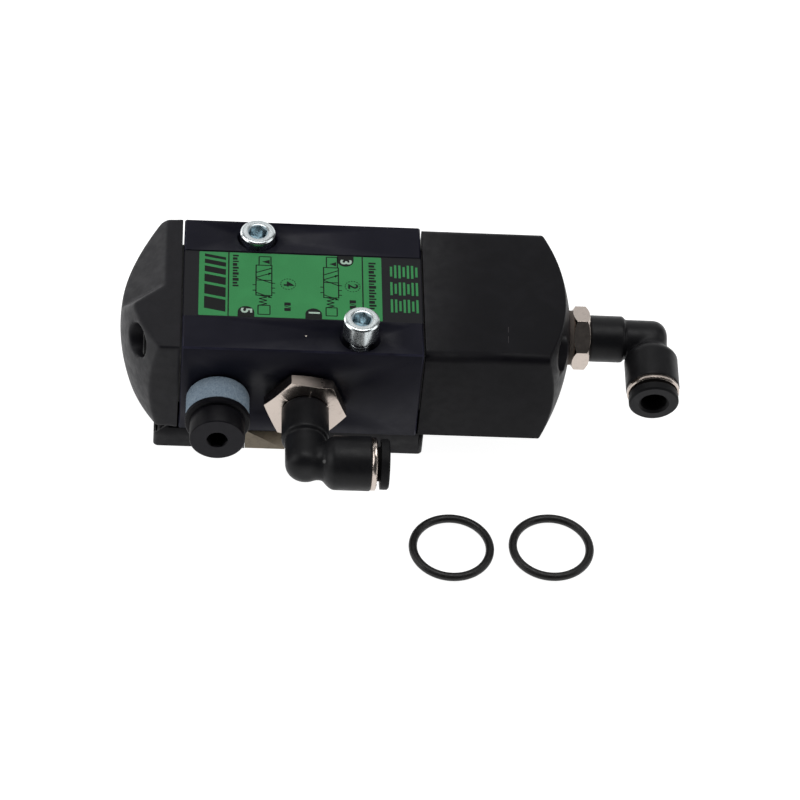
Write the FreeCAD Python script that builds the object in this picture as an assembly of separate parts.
import FreeCAD, Part
import os
from math import cos, pi, radians, sin, sqrt

# Air-piloted, spring-return spool valve that bolts to the NAMUR face of a rotary actuator.
# Millimetres. X runs along the spool, +Z is up, and the origin is the centre of the two
# mounting screws on the underside of the base plate. The ports face -Y (front) and +Y (back).

# --- driving dimensions -------------------------------------------------------------------
SCREW_X, SCREW_Y = 12.0, 16.0          # half of the 24 x 32 mounting screw pattern
PORT_X = 12.0                          # ports 4 and 2 are 24 apart

BODY_LEFT, BODY_RIGHT = -29.3, 26.8
HALF_WIDTH = 21.4
PLATE_TOP = 7.05
BODY_TOP = 34.6
AXIS_Z = 20.8                          # spool axis
BODY_EDGE = 0.4                        # chamfer all round

LABEL_HALF_WIDTH = 10.9
LABEL_RECESS = 0.5
LABEL_THICKNESS = 0.35

JOINT_GAP = 0.4                        # cap gasket thickness
CAP_BOTTOM = 7.5
SPRING_CAP_CORNER = -34.3
SPRING_CAP_CROWN_Y, SPRING_CAP_CROWN_Z = 7.4, 2.1
PILOT_CAP_CORNER = 55.75
PILOT_CAP_CROWN_Y, PILOT_CAP_CROWN_Z = 5.0, 2.3
CROWN_HALF_HEIGHT = 13.75
CROWN_EDGE = 0.6                       # rounding where the crowned face meets the sides
SPRING_CAP_EDGE, PILOT_CAP_EDGE, CAP_BOTTOM_EDGE = 0.7, 2.2, 0.5
SCOOP_X, SCOOP_SLOPE = -33.4, 39.0     # start of the scoop on the top face, and its fall

PLATE_LEFT, PLATE_RIGHT = -35.1, 28.8
PLATE_HALF_WIDTH = 20.4
PLATE_FLOOR = 3.0
POCKET_HALF_X, POCKET_HALF_Y = 19.0, 17.5
WINDOW_LEFT, WINDOW_RIGHT, WINDOW_TOP = -13.5, -3.8, 6.2
GASKET_THICKNESS = 0.5
PRY_NOTCH = (-31.6, -27.2)             # along the plate's top front edge

M5_HOLE, M5_THREAD, M5_HEAD = 2.8, 2.5, 4.15
M5_HEAD_HEIGHT, M5_LENGTH, M5_KEY = 5.0, 30.0, 4.0
COUNTERBORE, COUNTERBORE_FLOOR = 4.9, 23.5
FRONT_HEAD_TOP, REAR_HEAD_TOP = 40.5, 36.3

CAP_SCREW_PLACES = ((-14.0, 29.0), (14.0, 12.6))
M4_HOLE, M4_THREAD, M4_HEAD = 2.05, 2.0, 3.5
M4_HEAD_HEIGHT, M4_KEY = 4.0, 3.0
CAP_COUNTERBORE = 4.0
SPRING_CAP_SEAT, SPRING_CAP_SCREW = -34.2, 12.0
PILOT_CAP_SEAT, PILOT_CAP_SCREW = 36.4, 16.0
M4_DEPTH_LEFT, M4_DEPTH_RIGHT = -21.4, 20.2

PORT_Z = 18.5
THREAD_R, THREAD_PITCH = 4.86, 0.907   # G1/8
PORT_R, TAPPED_R = 4.9, 4.43
PORT_FLOOR = 12.6
EXHAUST_X, INLET_X, PORT_3_X = -20.4, 0.0, 15.0

BORE_R, SPOOL_R, NECK_R = 7.8, 5.0, 3.3
SEAL_X = (-25.6, -15.4, -5.1, 5.1, 15.4, 24.4)
SEAL_WIDTH, SEAL_GAP = 2.4, 0.03
SPACER_R, SPACER_BORE = 7.75, 5.4
SPOOL_LEFT, SPOOL_RIGHT = -26.9, 30.6
LANDS = ((SPOOL_LEFT, -19.3), (-11.5, -3.9), (8.9, 16.6), (23.2, SPOOL_RIGHT))

SPRING_END, SPRING_R, SPRING_WIRE = -38.5, 4.1, 0.9
SPRING_TURNS = 4.5
SPRING_POCKET = 5.4
SPRING_SEAT_FACE = -28.4

CYLINDER_R, CYLINDER_END = 10.5, 46.5
PISTON_LEFT, PISTON_RIGHT, PISTON_R = 38.0, 46.0, 10.2
PILOT_Z = 20.5
PILOT_SPOT_X, PILOT_SPOT_R = 61.5, 7.3
PILOT_SEAL_R, PILOT_SEAL_DEPTH = 6.2, 0.8
PILOT_THREAD_END = 54.6

SILENCER_R, SILENCER_BACK, SILENCER_RIM, SILENCER_FRONT = 7.5, -28.4, 7.6, -35.2
SILENCER_NOSE_R, SILENCER_SHOULDER, SILENCER_KEY = 6.45, 1.6, 4.4

INLET_HEX, INLET_HEX_BACK, INLET_HEX_FRONT = 17.0, -22.0, -25.3
INLET_HEX_TURN = 21.5                  # corner angle about the stud axis
PILOT_HEX, PILOT_HEX_BACK, PILOT_HEX_FRONT = 13.1, 63.5, 67.5
PILOT_HEX_TURN = 13.2
INLET_HEX_CHAMFER, PILOT_HEX_CHAMFER = 0.25, 0.75   # depth over corner height
PILOT_FLANGE_R, PILOT_FLANGE = 6.5, 1.8
PILOT_LEG_DROP = 5.0                   # the pilot leg hangs a little below level
INLET_SLEEVE, PILOT_SLEEVE = 8.95, 7.95
ELBOW_GAP = 0.1
STUD_THREAD = 6.8                      # thread length below the seat
INLET_SEAL_R = 6.9

SLEEVE_R, BEND_R, BARREL_R = 5.55, 4.75, 6.35
SLEEVE_TO_AXIS = 6.75
PAST_AXIS, BEND_END_FILLET = 4.1, 3.5
BARREL_START, BARREL_END = 6.5, 15.1
COLLAR_END, BUTTON_FLANGE, BUTTON_END = 16.4, 17.3, 19.3
SPIGOT_R, SPIGOT_BORE, SOCKET_R = 3.6, 2.2, 4.0
TUBE_R = 3.1

RING_R, RING_SECTION = 9.0, 1.0        # 16 x 2 interface O-ring
RING_PLACES = ((34.9, -50.6), (58.3, -49.6))

# --- helpers ------------------------------------------------------------------------------


def vec(x, y, z):
    return FreeCAD.Vector(x, y, z)


def block(x0, x1, y0, y1, z0, z1):
    return Part.makeBox(x1 - x0, y1 - y0, z1 - z0, vec(x0, y0, z0))


def rod(start, direction, radius, length):
    return Part.makeCylinder(radius, length, vec(*start), vec(*direction))


def aim(shape, origin, direction):
    """Turn a shape made along +Z to point along direction, and move it to origin."""
    turned_shape = shape.copy()
    turn = FreeCAD.Rotation(vec(0, 0, 1), vec(*direction))
    turned_shape.Placement = FreeCAD.Placement(vec(*origin), turn)
    return turned_shape


def turned(profile, origin=(0, 0, 0), direction=(0, 0, 1)):
    """Solid of revolution from (distance along the axis, radius) corners.

    A corner with four values is reached by an arc that passes through the first two.
    """
    edges = []
    start = vec(profile[-1][-1], 0, profile[-1][-2])
    for corner in profile:
        end = vec(corner[-1], 0, corner[-2])
        if len(corner) == 4:
            middle = vec(corner[1], 0, corner[0])
            edges.append(Part.Arc(start, middle, end).toShape())
        else:
            edges.append(Part.LineSegment(start, end).toShape())
        start = end
    solid = Part.Face(Part.Wire(edges)).revolve(vec(0, 0, 0), vec(0, 0, 1), 360)
    return aim(solid, origin, direction)


def tube(a0, a1, inner, outer, origin=(0, 0, 0), direction=(0, 0, 1)):
    return turned([(a0, inner), (a1, inner), (a1, outer), (a0, outer)], origin, direction)


def ridges(start, end, major, pitch):
    """Crests and roots of a thread, from start to end along the axis."""
    root = major - 0.55 * pitch
    count = int((end - start) / pitch)
    points = [(start, root)]
    for i in range(count):
        points.append((start + (i + 0.5) * pitch, major))
        points.append((start + (i + 1) * pitch, root))
    return points


def prism(corners, z0, z1):
    points = [vec(x, y, z0) for x, y in corners]
    return Part.Face(Part.makePolygon(points + points[:1])).extrude(vec(0, 0, z1 - z0))


def hexagon(across_flats, z0, z1, turn=0.0):
    corner = across_flats / sqrt(3)
    angles = [radians(turn + 60 * i) for i in range(6)]
    return prism([(corner * cos(a), corner * sin(a)) for a in angles], z0, z1)


def chamfered_hexagon(across_flats, length, turn, steepness):
    """Hexagon whose corners are turned off at both ends, steepness being depth over height."""
    corner = across_flats / sqrt(3)
    flat = across_flats / 2
    rise = steepness * (corner - flat)
    cone = turned([(0, 0), (0, flat), (rise, corner), (length - rise, corner), (length, flat),
                   (length, 0)])
    return hexagon(across_flats, 0, length, turn).common(cone)


def joined(first, *others):
    return first.fuse(list(others)).removeSplitter()


def cut(shape, *tools):
    return shape.cut(list(tools))


def export(name, *solids):
    shape = solids[0] if len(solids) == 1 else Part.makeCompound(list(solids))
    shape.exportStep(os.path.join("parts", name + ".step"))


def long_edges(shape, axis):
    """Edges of a block that run the whole way along one axis."""
    box = shape.BoundBox
    reach = (box.XLength, box.YLength, box.ZLength)[axis]
    return [e for e in shape.Edges if abs(e.Length - reach) < 1e-6 and abs(e.tangentAt(0)[axis]) > 0.99]


# --- valve body ---------------------------------------------------------------------------


def mounting_holes(z0, z1, radius=M5_HOLE):
    places = ((-SCREW_X, SCREW_Y), (SCREW_X, -SCREW_Y))
    return [rod((x, y, z0), (0, 0, 1), radius, z1 - z0) for x, y in places]


def port(x, side, radius, passage_x, passage_r):
    """Threaded port from the front (side -1) or back (side 1) face, and its way to the bore."""
    mouth = side * HALF_WIDTH
    hole = rod((x, mouth, PORT_Z), (0, -side, 0), radius, HALF_WIDTH - PORT_FLOOR)
    countersink = [(0, 0), (0, radius + 0.5), (0.5, radius), (0.5, 0)]
    lead = turned(countersink, (x, mouth, PORT_Z), (0, -side, 0))
    passage = rod((passage_x, side * PORT_FLOOR, PORT_Z), (0, -side, 0), passage_r, PORT_FLOOR - 5)
    return [hole, lead, passage]


def valve_body():
    body = block(BODY_LEFT, BODY_RIGHT, -HALF_WIDTH, HALF_WIDTH, PLATE_TOP, BODY_TOP)
    body = body.makeChamfer(BODY_EDGE, body.Edges)
    floor = BODY_TOP - LABEL_RECESS
    left, right = BODY_LEFT - 1, BODY_RIGHT + 1
    tools = [block(left, right, -LABEL_HALF_WIDTH, LABEL_HALF_WIDTH, floor, BODY_TOP + 1)]
    tools.append(rod((left, 0, AXIS_Z), (1, 0, 0), BORE_R, right - left))
    tools += mounting_holes(PLATE_TOP - 1, BODY_TOP + 1)
    tools += mounting_holes(COUNTERBORE_FLOOR, BODY_TOP + 1, COUNTERBORE)
    tools += port(EXHAUST_X, -1, PORT_R, EXHAUST_X, 3.0)
    tools += port(INLET_X, -1, PORT_R, INLET_X, 3.0)
    tools += port(PORT_3_X, 1, TAPPED_R, PORT_3_X + 3.1, 1.4)
    for x in (-PORT_X, PORT_X):
        tools.append(rod((x, 0, PLATE_TOP - 1), (0, 0, 1), 3.5, 3.0))
        tools.append(rod((x, 0, PLATE_TOP), (0, 0, 1), 2.0, AXIS_Z - PLATE_TOP - 5))
    for y, z in CAP_SCREW_PLACES:
        tools.append(rod((left, y, z), (1, 0, 0), M4_HOLE, M4_DEPTH_LEFT - left))
        tools.append(rod((right, y, z), (-1, 0, 0), M4_HOLE, right - M4_DEPTH_RIGHT))
    return cut(body, *tools)


def label_plate():
    floor = BODY_TOP - LABEL_RECESS
    half = LABEL_HALF_WIDTH - 0.1
    return block(BODY_LEFT + 0.2, BODY_RIGHT - 0.2, -half, half, floor, floor + LABEL_THICKNESS)


# --- base plate and what it holds ---------------------------------------------------------


def base_plate():
    plate = block(PLATE_LEFT, PLATE_RIGHT, -PLATE_HALF_WIDTH, PLATE_HALF_WIDTH, 0, PLATE_TOP)
    plate = plate.makeFillet(1.2, long_edges(plate, 2))
    slope = 3.2
    run = PLATE_LEFT + slope
    wedge = prism([(PLATE_LEFT - 1, PLATE_TOP + 1), (run, PLATE_TOP + 1), (run, PLATE_TOP),
                   (PLATE_LEFT, PLATE_TOP - slope), (PLATE_LEFT - 1, PLATE_TOP - slope)], -30, 30)
    wedge.rotate(vec(0, 0, 0), vec(1, 0, 0), 90)
    tools = [wedge, block(*PRY_NOTCH, -PLATE_HALF_WIDTH - 1, 1 - PLATE_HALF_WIDTH, PLATE_TOP - 0.8, 10)]
    slope_x = PLATE_LEFT + 0.75
    tools.append(block(slope_x - 0.2, slope_x + 0.2, -20.0, -17.3, PLATE_TOP - slope, 10))
    tools.append(rod((run - 0.5, 0.8 - PLATE_HALF_WIDTH, PLATE_TOP - 1.2), (-1, 0, 1), 0.35, 3))
    tools.append(block(-POCKET_HALF_X, POCKET_HALF_X, -POCKET_HALF_Y, POCKET_HALF_Y, PLATE_FLOOR, 10))
    tools.append(block(WINDOW_LEFT, WINDOW_RIGHT, -30, -POCKET_HALF_Y, -1, WINDOW_TOP))
    tools += mounting_holes(-1, 10)
    for x in (-PORT_X, PORT_X):
        tools.append(rod((x, 0, -1), (0, 0, 1), 4.0, 10))
        tools.append(tube(-1, 1.5, RING_R - RING_SECTION - 0.1, RING_R + RING_SECTION + 0.1, (x, 0, 0)))
    return cut(plate, *tools)


def function_plate():
    half_x, half_y = POCKET_HALF_X - 0.1, POCKET_HALF_Y - 0.1
    top = PLATE_TOP - GASKET_THICKNESS
    plate = block(-half_x, half_x, -half_y, half_y, PLATE_FLOOR, top)
    left, right = WINDOW_LEFT + 0.1, WINDOW_RIGHT - 0.1
    tab = block(left, right, -PLATE_HALF_WIDTH, -half_y + 1, PLATE_FLOOR, WINDOW_TOP - 0.1)
    skirt = block(left, right, -PLATE_HALF_WIDTH, -half_y - 0.2, 0.1, PLATE_FLOOR)
    holes = mounting_holes(-1, 10)
    for x in (-PORT_X, PORT_X):
        holes.append(rod((x, 0, 0), (0, 0, 1), 3.5, 10))
    return cut(joined(plate, tab, skirt), *holes)


def body_gasket():
    half_x, half_y = POCKET_HALF_X - 0.5, POCKET_HALF_Y - 0.5
    sheet = block(-half_x, half_x, -half_y, half_y, PLATE_TOP - GASKET_THICKNESS, PLATE_TOP)
    holes = mounting_holes(0, 10, M5_HOLE + 0.2)
    for x in (-PORT_X, PORT_X):
        holes.append(rod((x, 0, 0), (0, 0, 1), 3.7, 10))
    return cut(sheet, *holes)


# --- end caps -----------------------------------------------------------------------------


def crown(corner_x, rise_y, rise_z, side, length):
    """Solid behind a crowned face: parabolas of height rise_y across and rise_z up and down."""
    reach_y, reach_z = HALF_WIDTH + 4, CROWN_HALF_HEIGHT + 4
    edge_y, mid_y = [rise_y * (1 + s * (reach_y / HALF_WIDTH) ** 2) for s in (-1, 1)]
    edge_z, mid_z = [rise_z * (1 + s * (reach_z / CROWN_HALF_HEIGHT) ** 2) for s in (-1, 1)]
    face = Part.BezierSurface()
    face.increase(2, 2)
    for i, (y, rise_a) in enumerate(((-reach_y, edge_y), (0, mid_y), (reach_y, edge_y))):
        for j, (z, rise_b) in enumerate(((-reach_z, edge_z), (0, mid_z), (reach_z, edge_z))):
            face.setPole(i + 1, j + 1, vec(corner_x + side * (rise_a + rise_b), y, AXIS_Z + z))
    return face.toShape().extrude(vec(-side * length, 0, 0))


def half_space(point, normal, size=60):
    """Large block whose base lies on a plane and which fills the side the normal points to."""
    slab = Part.makeBox(size, size, size, vec(-size / 2, -size / 2, 0))
    return aim(slab, point, normal)


def plain_cap(joint_x, corner_x, rise_y, rise_z, side, edge):
    """Block with rounded top edges, nearly sharp bottom edges and a crowned end."""
    far = corner_x + side * (rise_y + rise_z + 1)
    low, high = min(joint_x, far), max(joint_x, far)
    cap = block(low, high, -HALF_WIDTH, HALF_WIDTH, CAP_BOTTOM, BODY_TOP)
    cap = cap.makeFillet(edge, [e for e in long_edges(cap, 0) if e.BoundBox.ZMin > AXIS_Z])
    cap = cap.makeFillet(CAP_BOTTOM_EDGE, [e for e in long_edges(cap, 0) if e.BoundBox.ZMax < AXIS_Z])
    return cap.common(crown(corner_x, rise_y, rise_z, side, abs(far - joint_x) + 30))


def softened(cap, joint_x, corner_x):
    """Round every edge that reaches the crowned end of a cap, and leave the joint face sharp."""
    side = 1 if corner_x > joint_x else -1
    edges = []
    for edge in cap.Edges:
        box = edge.BoundBox
        reach = max(side * box.XMin, side * box.XMax)
        straight_back = edge.Length > 20 and abs(edge.tangentAt(edge.FirstParameter).x) > 0.99
        at_joint = max(abs(box.XMin - joint_x), abs(box.XMax - joint_x)) < 1e-4
        if reach > side * corner_x - 0.3 and not straight_back and not at_joint:
            edges.append(edge)
    return cap.makeFillet(CROWN_EDGE, edges)


def cap_screw_holes(joint_x, seat_x, side):
    tools = []
    for y, z in CAP_SCREW_PLACES:
        tools.append(rod((joint_x - side, y, z), (side, 0, 0), 2.2, 40))
        tools.append(rod((seat_x, y, z), (side, 0, 0), CAP_COUNTERBORE, 40))
    return tools


def scoop():
    """Hollow in the top back corner of the spring cap: a sloping floor and one slanted side."""
    fall = radians(SCOOP_SLOPE)
    corner = vec(SCOOP_X, -0.9, BODY_TOP)
    nose = vec(-40.7, -7.5, BODY_TOP)
    floor = half_space((SCOOP_X, 0, BODY_TOP), (-sin(fall), 0, cos(fall)))
    across = (vec(-43.2, -2.5, 28.0) - nose).cross(nose - corner)
    side = half_space(tuple(corner), tuple(across if across.y > 0 else across * -1))
    return floor.common(side)


def spring_cap():
    joint = BODY_LEFT - JOINT_GAP
    cap = plain_cap(joint, SPRING_CAP_CORNER, SPRING_CAP_CROWN_Y, SPRING_CAP_CROWN_Z, -1,
                    SPRING_CAP_EDGE)
    cap = softened(cut(cap, scoop()), joint, SPRING_CAP_CORNER)
    pocket = rod((joint + 1, 0, AXIS_Z), (-1, 0, 0), SPRING_POCKET, joint + 1 - SPRING_END)
    return cut(cap, pocket, *cap_screw_holes(joint, SPRING_CAP_SEAT, -1))


def pilot_cap():
    joint = BODY_RIGHT + JOINT_GAP
    cap = plain_cap(joint, PILOT_CAP_CORNER, PILOT_CAP_CROWN_Y, PILOT_CAP_CROWN_Z, 1,
                    PILOT_CAP_EDGE)
    cap = softened(cap, joint, PILOT_CAP_CORNER)
    tools = [rod((joint - 1, 0, AXIS_Z), (1, 0, 0), CYLINDER_R, CYLINDER_END - joint + 1)]
    tools.append(rod((CYLINDER_END - 1, 0, PILOT_Z), (1, 0, 0), 2.0, 12))
    tools.append(rod((PILOT_THREAD_END, 0, PILOT_Z), (1, 0, 0), PORT_R, 12))
    tools.append(rod((PILOT_SPOT_X, 0, PILOT_Z), (1, 0, 0), PILOT_SPOT_R, 5))
    tools.append(rod((PILOT_SPOT_X - PILOT_SEAL_DEPTH, 0, PILOT_Z), (1, 0, 0), PILOT_SEAL_R, 5))
    return cut(cap, *tools, *cap_screw_holes(joint, PILOT_CAP_SEAT, 1))


def cap_gasket(x0, bore):
    """Thin sheet with its two corners away from the screws cut off."""
    y, low, high = HALF_WIDTH - 1.8, PLATE_TOP + 2.0, BODY_TOP - 2.0
    corners = [(-14.5, low), (y, low), (y, high - 5.4), (14.5, high), (-y, high), (-y, low + 5.4)]
    points = [vec(x0, a, b) for a, b in corners]
    sheet = Part.Face(Part.makePolygon(points + points[:1])).extrude(vec(JOINT_GAP, 0, 0))
    tools = [rod((x0 - 1, 0, AXIS_Z), (1, 0, 0), bore, 3)]
    tools += [rod((x0 - 1, a, b), (1, 0, 0), 2.2, 3) for a, b in CAP_SCREW_PLACES]
    return cut(sheet, *tools)


# --- screws -------------------------------------------------------------------------------


def socket_screw(thread_r, pitch, length, head_r, head_height, key):
    """Socket head screw along +Z: head underside at 0, tip at -length, knurled head above."""
    shank = [(-length, 0), (-length, thread_r - 0.8)]
    shank += ridges(-length + 0.5, -2.0, thread_r, pitch)
    shank += [(-1.2, thread_r), (0.1, thread_r), (0.1, 0)]
    teeth = 48
    outline = []
    for i in range(2 * teeth):
        radius = head_r if i % 2 else head_r - 0.07
        angle = pi * i / teeth
        outline.append((radius * cos(angle), radius * sin(angle)))
    knurl = prism(outline, 0, head_height)
    bevel = 0.09 * head_r
    lower = 0.25
    barrel = turned([(0, 0), (0, head_r - lower), (lower, head_r + 0.1),
                     (head_height - bevel, head_r + 0.1), (head_height, head_r - bevel), (head_height, 0)])
    socket = hexagon(key, 0.5 * head_height - 0.2, head_height + 1, 15)
    cone = turned([(head_height - 0.35, 0), (head_height - 0.35, key / 2),
                   (head_height + 0.01, key / 2 + 0.42), (head_height + 0.01, 0)])
    return cut(joined(knurl.common(barrel), turned(shank)), socket, cone)


def mounting_screw(x, y, head_top):
    screw = socket_screw(M5_THREAD, 0.8, M5_LENGTH, M5_HEAD, M5_HEAD_HEIGHT, M5_KEY)
    return aim(screw, (x, y, head_top - M5_HEAD_HEIGHT), (0, 0, 1))


def cap_screws(seat_x, side, length):
    screw = socket_screw(M4_THREAD, 0.7, length, M4_HEAD, M4_HEAD_HEIGHT, M4_KEY)
    return [aim(screw, (seat_x, y, z), (side, 0, 0)) for y, z in CAP_SCREW_PLACES]


# --- spool, seals and spring --------------------------------------------------------------


def along_spool(profile):
    return turned(profile, (0, 0, AXIS_Z), (1, 0, 0))


def spool():
    lead = 0.6
    profile = [(SPOOL_LEFT, 0)]
    for start, end in LANDS:
        if start > SPOOL_LEFT:
            profile += [(start, NECK_R), (start + lead, SPOOL_R)]
        else:
            profile += [(start, SPOOL_R - lead), (start + lead, SPOOL_R)]
        if end < SPOOL_RIGHT:
            profile += [(end - lead, SPOOL_R), (end, NECK_R)]
        else:
            profile += [(end - lead, SPOOL_R), (end, SPOOL_R - lead)]
    profile.append((SPOOL_RIGHT, 0))
    return along_spool(profile)


def spool_seals():
    seals = []
    for x in SEAL_X:
        half, lip = SEAL_WIDTH / 2, SPOOL_R + SEAL_GAP
        seals.append(along_spool([(x - half, lip + 0.6), (x - 0.5, lip), (x + 0.5, lip),
                                  (x + half, lip + 0.6), (x + half, BORE_R), (x - half, BORE_R)]))
    return seals


def sleeve_spacers():
    """Cages between the seals; each long one has an outer groove and six windows."""
    half = SEAL_WIDTH / 2
    starts = [BODY_LEFT] + [x + half for x in SEAL_X]
    ends = [x - half for x in SEAL_X] + [BODY_RIGHT]
    cages = []
    for start, end in zip(starts, ends):
        if end - start < 4:
            cages.append(tube(start, end, SPACER_BORE, SPACER_R, (0, 0, AXIS_Z), (1, 0, 0)))
            continue
        rim, groove = 1.2, SPACER_R - 0.9
        cage = along_spool([(start, SPACER_BORE), (end, SPACER_BORE), (end, SPACER_R),
                            (end - rim, SPACER_R), (end - rim, groove), (start + rim, groove),
                            (start + rim, SPACER_R), (start, SPACER_R)])
        window = (end - start - 2 * rim) / 2 - 0.3
        middle = (start + end) / 2
        tools = [rod((middle, 0, AXIS_Z), (0, cos(radians(a)), sin(radians(a))), window, 12)
                 for a in range(0, 360, 60)]
        cages.append(cut(cage, *tools))
    return cages


def spring_seat():
    """Cup on the spool's end whose spigot centres the spring."""
    return along_spool([(SPRING_SEAT_FACE - 1.5, 0), (SPRING_SEAT_FACE - 1.5, 2.6), (SPRING_SEAT_FACE, 3.0),
                        (SPRING_SEAT_FACE, 4.7), (SPOOL_LEFT, 4.7), (SPOOL_LEFT, 0)])


def return_spring():
    free = SPRING_WIRE / 2 + 0.02
    start, end = SPRING_END + free, SPRING_SEAT_FACE - free
    pitch = (end - start) / SPRING_TURNS
    helix = Part.makeHelix(pitch, end - start, SPRING_R)
    circle = Part.makeCircle(SPRING_WIRE / 2, vec(SPRING_R, 0, 0), vec(0, 1, pitch / (2 * pi * SPRING_R)))
    coil = Part.Wire(helix).makePipeShell([Part.Wire(circle)], True, True)
    return aim(coil, (start, 0, AXIS_Z), (1, 0, 0))


def pilot_piston():
    groove = 1.9
    middle = (PISTON_LEFT + PISTON_RIGHT) / 2
    return along_spool([(SPOOL_RIGHT, 0), (SPOOL_RIGHT, 4.2), (PISTON_LEFT, 4.2), (PISTON_LEFT, PISTON_R),
                        (middle - 1.3, PISTON_R), (middle - 1.3, PISTON_R - groove),
                        (middle + 1.3, PISTON_R - groove), (middle + 1.3, PISTON_R),
                        (PISTON_RIGHT - 0.5, PISTON_R), (PISTON_RIGHT, PISTON_R - 0.5), (PISTON_RIGHT, 0)])


def piston_seal():
    middle = (PISTON_LEFT + PISTON_RIGHT) / 2
    outer, inner = CYLINDER_R - 0.03, PISTON_R - 1.88
    return along_spool([(middle - 1.2, inner), (middle + 1.2, inner), (middle + 1.2, outer - 0.4),
                        (middle + 0.5, outer), (middle - 0.5, outer), (middle - 1.2, outer - 0.4)])


# --- exhaust silencer ---------------------------------------------------------------------


def from_front(profile, x):
    """Turned part on a front port; distances are measured out from Y = 0."""
    return turned(profile, (x, 0, PORT_Z), (0, -1, 0))


def silencer_stem():
    inner, outer = 2.6, 4.5
    end = -SILENCER_FRONT - 2.2
    profile = [(14.0, inner), (end, inner), (end, outer), (HALF_WIDTH + 0.3, outer)]
    profile += [(a, r) for a, r in reversed(ridges(14.2, HALF_WIDTH - 0.2, THREAD_R, THREAD_PITCH))]
    stem = from_front(profile, EXHAUST_X)
    holes = []
    for y in (-22.8, -26.0):
        for a in range(0, 360, 60):
            direction = (cos(radians(a)), 0, sin(radians(a)))
            holes.append(rod((EXHAUST_X, y, PORT_Z), direction, 0.9, 8))
    return cut(stem, *holes)


def silencer_element():
    return from_front([(HALF_WIDTH + 0.05, 4.55), (-SILENCER_BACK, 4.55), (-SILENCER_BACK, SILENCER_R),
                       (HALF_WIDTH + 0.6, SILENCER_R), (HALF_WIDTH + 0.05, SILENCER_R - 0.4)], EXHAUST_X)


def silencer_cap():
    back, front = -SILENCER_BACK, -SILENCER_FRONT
    shoulder = back + SILENCER_SHOULDER
    outline = [(back, 4.55), (back, SILENCER_RIM - 0.25), (back + 0.25, SILENCER_RIM),
               (shoulder - 0.3, SILENCER_RIM), (shoulder, SILENCER_RIM - 0.3), (shoulder, SILENCER_NOSE_R),
               (front - 0.25, SILENCER_NOSE_R), (front, SILENCER_NOSE_R - 0.25), (front, 0),
               (front - 2.15, 0), (front - 2.15, 4.55)]
    key = aim(hexagon(SILENCER_KEY, 0, 12), (EXHAUST_X, -front + 6, PORT_Z), (0, -1, 0))
    mouth = from_front([(front - 0.3, 0), (front - 0.3, SILENCER_KEY / 2),
                        (front + 0.01, SILENCER_KEY / 2 + 0.31), (front + 0.01, 0)], EXHAUST_X)
    return cut(from_front(outline, EXHAUST_X), key, mouth)


# --- push-in fittings ---------------------------------------------------------------------
# Each fitting is made in its own frame: the stud's axis is +X with the elbow starting at 0,
# and the tube leg points along +Y.


def place_inlet(shape):
    turn = FreeCAD.Rotation(vec(0, 0, 1), -90)
    start = INLET_HEX_FRONT - ELBOW_GAP
    shape.Placement = FreeCAD.Placement(vec(INLET_X, start, PORT_Z), turn).multiply(shape.Placement)
    return shape


def place_pilot(shape, drop=0.0):
    turn = FreeCAD.Rotation(vec(1, 0, 0), 180 + drop)
    start = PILOT_HEX_FRONT + ELBOW_GAP
    shape.Placement = FreeCAD.Placement(vec(start, 0, PILOT_Z), turn).multiply(shape.Placement)
    return shape


def drop_pilot(shape):
    """Place a piece of the pilot elbow, which is swivelled a little downwards."""
    return place_pilot(shape, PILOT_LEG_DROP)


def stud(sleeve, hexagon_size, hexagon_turn, chamfer, hexagon_back, thread_end, flange):
    """Threaded stud, hexagon and the spigot that the elbow turns on."""
    spigot_end = sleeve - 0.6
    groove = sleeve - 2.6
    profile = [(thread_end, SPIGOT_BORE), (spigot_end, SPIGOT_BORE), (spigot_end, SPIGOT_R - 0.3),
               (spigot_end - 0.3, SPIGOT_R), (groove + 0.5, SPIGOT_R), (groove + 0.5, 3.1),
               (groove - 0.5, 3.1), (groove - 0.5, SPIGOT_R), (3.4, SPIGOT_R), (3.4, 2.9), (1.9, 2.9),
               (1.9, SPIGOT_R), (-1.0, SPIGOT_R), (hexagon_back + 0.5, SPIGOT_R + 0.3)]
    if flange:
        profile += [(hexagon_back + 0.5, PILOT_FLANGE_R), (hexagon_back - flange, PILOT_FLANGE_R)]
    thread_start = hexagon_back - flange
    profile.append((thread_start, THREAD_R - 0.4))
    profile += [(a, r) for a, r in reversed(ridges(thread_end, thread_start, THREAD_R, THREAD_PITCH))]
    length = -ELBOW_GAP - hexagon_back
    nut = chamfered_hexagon(hexagon_size, length, hexagon_turn, chamfer)
    nut = cut(aim(nut, (hexagon_back, 0, 0), (1, 0, 0)),
              rod((hexagon_back - 1, 0, 0), (1, 0, 0), SPIGOT_R - 0.2, length + 2))
    return joined(turned(profile, (0, 0, 0), (1, 0, 0)), nut)


def swivel_seal():
    return Part.makeTorus(3.42, 0.5, vec(2.65, 0, 0), vec(1, 0, 0))


def snap_ring(sleeve):
    groove = sleeve - 2.6
    ring = tube(groove - 0.4, groove + 0.4, 3.15, 4.35, (0, 0, 0), (1, 0, 0))
    gap = block(groove - 1, groove + 1, 0, 6, -0.8, 0.8)
    return cut(ring, gap)


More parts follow.
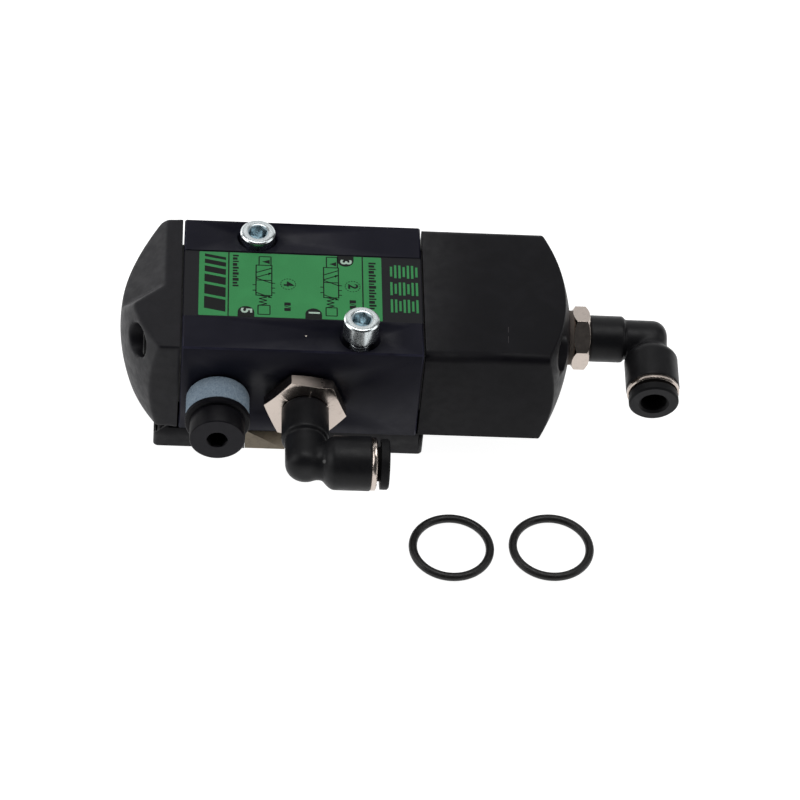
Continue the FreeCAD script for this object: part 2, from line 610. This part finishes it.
def elbow(sleeve):
    axis = sleeve + SLEEVE_TO_AXIS
    first = turned([(0, 0), (0, SLEEVE_R - 0.3), (0.3, SLEEVE_R), (sleeve - 0.3, SLEEVE_R),
                    (sleeve + 0.25, SLEEVE_R - 0.25, sleeve + 0.5, BEND_R), (sleeve + 0.5, 0)],
                   (0, 0, 0), (1, 0, 0))
    bend = rod((sleeve, 0, 0), (1, 0, 0), BEND_R, axis + PAST_AXIS - sleeve)
    end_edges = [e for e in bend.Edges if abs(e.BoundBox.XMin - e.BoundBox.XMax) < 1e-6
                 and e.BoundBox.XMin > axis]
    bend = bend.makeFillet(BEND_END_FILLET, end_edges)
    leg = turned([(0, 0), (0, BEND_R - 0.7), (BARREL_START - 2.4, BEND_R - 0.5),
                  (BARREL_START - 1.3, BARREL_R - 0.75, BARREL_START, BARREL_R),
                  (BARREL_END - 0.2, BARREL_R), (BARREL_END, BARREL_R - 0.2), (BARREL_END, 0)],
                 (axis, 0, 0), (0, 1, 0))
    groove = sleeve - 2.6
    socket = turned([(-1, 0), (-1, SOCKET_R), (groove - 0.7, SOCKET_R), (groove - 0.7, 4.65),
                     (groove + 0.7, 4.65), (groove + 0.7, SOCKET_R), (sleeve - 0.2, SOCKET_R),
                     (sleeve - 0.2, 2.4), (axis, 2.4), (axis, 0)], (0, 0, 0), (1, 0, 0))
    mouth = turned([(-1.8, 0), (-1.8, 2.4), (5.5, 2.4), (5.5, TUBE_R + 0.02), (8.0, TUBE_R + 0.02),
                    (8.0, 4.6), (11.4, 4.6), (11.4, 5.3), (BARREL_END + 1, 5.3), (BARREL_END + 1, 0)],
                   (axis, 0, 0), (0, 1, 0))
    return cut(joined(first, bend, leg), socket, mouth)


def on_leg(sleeve, profile):
    return turned(profile, (sleeve + SLEEVE_TO_AXIS, 0, 0), (0, 1, 0))


def collar(sleeve):
    return on_leg(sleeve, [(11.5, 4.05), (COLLAR_END, 4.05), (COLLAR_END, 5.9), (COLLAR_END - 0.3, 6.2),
                           (BARREL_END, 6.2), (BARREL_END, 5.28), (11.5, 5.28)])


def tube_seal(sleeve):
    return on_leg(sleeve, [(8.1, 3.4), (8.9, TUBE_R + 0.05), (9.5, TUBE_R + 0.05), (10.2, 3.4), (10.2, 4.58),
                           (8.1, 4.58)])


def grip_ring(sleeve):
    """Thin steel ring with teeth that lean inwards, split by six slots."""
    ring = on_leg(sleeve, [(10.35, 3.15), (10.85, 4.58), (11.15, 4.58), (10.65, 3.15)])
    centre = sleeve + SLEEVE_TO_AXIS
    slots = []
    for a in range(0, 360, 60):
        slot = block(0, 4.1, 10.0, 11.5, -0.2, 0.2)
        slot.rotate(vec(0, 0, 0), vec(0, 1, 0), a)
        slot.translate(vec(centre, 0, 0))
        slots.append(slot)
    return cut(ring, *slots)


def release_button(sleeve):
    return on_leg(sleeve, [(12.0, 3.4), (12.6, TUBE_R), (BUTTON_END - 0.5, TUBE_R),
                           (BUTTON_END, TUBE_R + 0.5), (BUTTON_END, 5.5), (BUTTON_END - 0.4, 5.9),
                           (BUTTON_FLANGE, 5.9), (BUTTON_FLANGE, 4.0), (12.0, 4.0)])


def thread_seal(start, end, outer):
    """Flat ring under a hexagon or flange, with a slightly crowned rim."""
    inner = THREAD_R + 0.06
    return turned([(start, inner), (end, inner), (end, outer - 0.2), ((start + end) / 2, outer),
                   (start, outer - 0.2)], (0, 0, 0), (1, 0, 0))


# --- everything written out ---------------------------------------------------------------

export("valve_body", valve_body())
export("label_plate", label_plate())
export("base_plate", base_plate())
export("function_plate", function_plate())
export("body_gasket", body_gasket())

export("spring_cap", spring_cap())
export("spring_cap_gasket", cap_gasket(BODY_LEFT - JOINT_GAP, 5.6))
export("spring_cap_screws", *cap_screws(SPRING_CAP_SEAT, -1, SPRING_CAP_SCREW))
export("pilot_cap", pilot_cap())
export("pilot_cap_gasket", cap_gasket(BODY_RIGHT, 6.5))
export("pilot_cap_screws", *cap_screws(PILOT_CAP_SEAT, 1, PILOT_CAP_SCREW))

export("spool", spool())
export("spool_seals", *spool_seals())
export("sleeve_spacers", *sleeve_spacers())
export("spring_seat", spring_seat())
export("return_spring", return_spring())
export("pilot_piston", pilot_piston())
export("piston_seal", piston_seal())

export("silencer_stem", silencer_stem())
export("silencer_element", silencer_element())
export("silencer_cap", silencer_cap())

export("front_mounting_screw", mounting_screw(SCREW_X, -SCREW_Y, FRONT_HEAD_TOP))
export("rear_mounting_screw", mounting_screw(-SCREW_X, SCREW_Y, REAR_HEAD_TOP))

inlet_back = INLET_HEX_FRONT - ELBOW_GAP - INLET_HEX_BACK
inlet_face = INLET_HEX_FRONT - ELBOW_GAP + HALF_WIDTH
pilot_back = PILOT_HEX_BACK - PILOT_HEX_FRONT - ELBOW_GAP
pilot_face = PILOT_SPOT_X - PILOT_HEX_FRONT - ELBOW_GAP
export("inlet_stud", place_inlet(stud(INLET_SLEEVE, INLET_HEX, INLET_HEX_TURN, INLET_HEX_CHAMFER,
                                      inlet_back, inlet_face - STUD_THREAD, 0.0)))
export("pilot_stud", place_pilot(stud(PILOT_SLEEVE, PILOT_HEX, PILOT_HEX_TURN, PILOT_HEX_CHAMFER,
                                      pilot_back, pilot_face - STUD_THREAD, PILOT_FLANGE)))
export("inlet_thread_seal", place_inlet(thread_seal(inlet_face, inlet_back, INLET_SEAL_R)))
export("pilot_thread_seal", place_pilot(thread_seal(pilot_face - PILOT_SEAL_DEPTH,
                                                    pilot_back - PILOT_FLANGE, PILOT_SEAL_R - 0.1)))
for name, place, sleeve in (("inlet", place_inlet, INLET_SLEEVE), ("pilot", drop_pilot, PILOT_SLEEVE)):
    export(name + "_swivel_seal", place(swivel_seal()))
    export(name + "_snap_ring", place(snap_ring(sleeve)))
    export(name + "_elbow", place(elbow(sleeve)))
    export(name + "_collar", place(collar(sleeve)))
    export(name + "_tube_seal", place(tube_seal(sleeve)))
    export(name + "_grip_ring", place(grip_ring(sleeve)))
    export(name + "_release_button", place(release_button(sleeve)))

for number, (x, y) in enumerate(RING_PLACES, 1):
    ring = Part.makeTorus(RING_R, RING_SECTION, vec(x, y, RING_SECTION), vec(0, 0, 1))
    export("interface_o_ring_%d" % number, ring)
